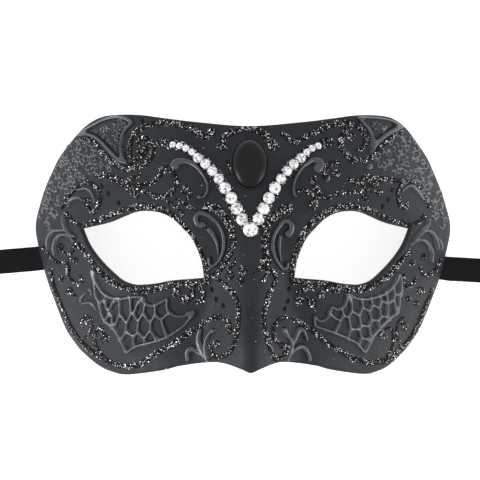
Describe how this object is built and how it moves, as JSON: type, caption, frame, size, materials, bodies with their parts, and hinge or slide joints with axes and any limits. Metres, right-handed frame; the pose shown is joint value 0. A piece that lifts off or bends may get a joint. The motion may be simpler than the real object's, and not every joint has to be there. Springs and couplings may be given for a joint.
{
  "type": "half mask",
  "caption": "Moulded half mask with raised stucco scrolls, black glitter lines, an oval cabochon, a V of round stones and ribbon ties, lying face up.",
  "frame": {"origin": "on the surface the mask lies on, under the middle of the part's bounding box", "axes": "+X across the face to the right as the front is seen, +Y towards the forehead, +Z out of the face"},
  "size_m": [0.23, 0.1156, 0.0693],
  "materials": {
    "shell_paint": "satin charcoal paint over a moulded shell",
    "stucco_paint": "satin charcoal paint over raised stucco",
    "glitter_black": "black glitter glue",
    "cabochon_black": "polished",
    "crystal": "foil-backed, faceted",
    "satin_black": "satin ribbon"
  },
  "bodies": {
    "root": {"mask_shell": "shell_paint", "cabochon_seat": "shell_paint", "forehead_cabochon": "cabochon_black", "rhinestone_centre": "crystal", "rhinestone_left_01": "crystal", "rhinestone_left_02": "crystal", "rhinestone_left_03": "crystal", "rhinestone_left_04": "crystal", "rhinestone_left_05": "crystal", "rhinestone_left_06": "crystal", "rhinestone_left_07": "crystal", "rhinestone_left_08": "crystal", "rhinestone_left_09": "crystal", "rhinestone_left_10": "crystal", "rhinestone_left_11": "crystal", "rhinestone_left_12": "crystal", "rhinestone_right_01": "crystal", "rhinestone_right_02": "crystal", "rhinestone_right_03": "crystal", "rhinestone_right_04": "crystal", "rhinestone_right_05": "crystal", "rhinestone_right_06": "crystal", "rhinestone_right_07": "crystal", "rhinestone_right_08": "crystal", "rhinestone_right_09": "crystal", "rhinestone_right_10": "crystal", "rhinestone_right_11": "crystal", "stone_bed_left": "glitter_black", "stone_bed_right": "glitter_black", "brow_scroll_left": "stucco_paint", "brow_scroll_right": "stucco_paint", "nose_scroll_left": "stucco_paint", "nose_scroll_right": "stucco_paint", "nose_leaf_left": "stucco_paint", "nose_leaf_right": "stucco_paint", "chin_spray_left": "stucco_paint", "chin_spray_right": "stucco_paint", "temple_leaf_left": "stucco_paint", "temple_leaf_right": "stucco_paint", "cheek_net_left": "stucco_paint", "cheek_net_right": "stucco_paint", "corner_panel_left": "stucco_paint", "corner_panel_right": "stucco_paint", "glitter_eye_left": "glitter_black", "glitter_eye_right": "glitter_black", "glitter_cheek_left": "glitter_black", "glitter_cheek_right": "glitter_black", "glitter_forehead_left": "glitter_black", "glitter_forehead_right": "glitter_black", "glitter_nose_left": "glitter_black", "glitter_nose_right": "glitter_black", "glitter_arc": "glitter_black", "ribbon_left": "satin_black", "ribbon_right": "satin_black"}
  },
  "joints": []
}
